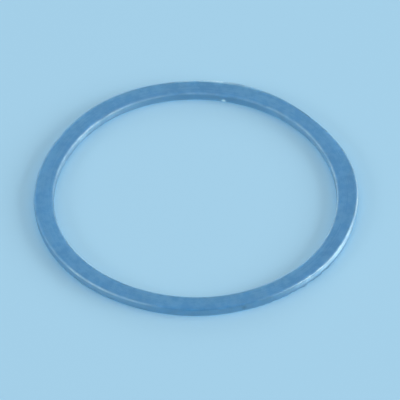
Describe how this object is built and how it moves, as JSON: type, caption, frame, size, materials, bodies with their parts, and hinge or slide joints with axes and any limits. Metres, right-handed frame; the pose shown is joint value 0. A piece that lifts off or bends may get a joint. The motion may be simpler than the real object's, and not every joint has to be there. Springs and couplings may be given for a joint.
{
  "type": "plastic washer",
  "caption": "Large thin flat ring washer in milky natural plastic, with softly rounded edges, lying on its face.",
  "frame": {"origin": "on the ring's axis, in the plane of the lower face that it lies on", "axes": "+Z along the ring's axis, from the lower face to the upper face; the ring is the same all the way round, so X and Y are free"},
  "size_m": [0.06, 0.06, 0.0018],
  "materials": {
    "milky_plastic": "satin"
  },
  "bodies": {
    "root": {"washer": "milky_plastic"}
  },
  "joints": []
}
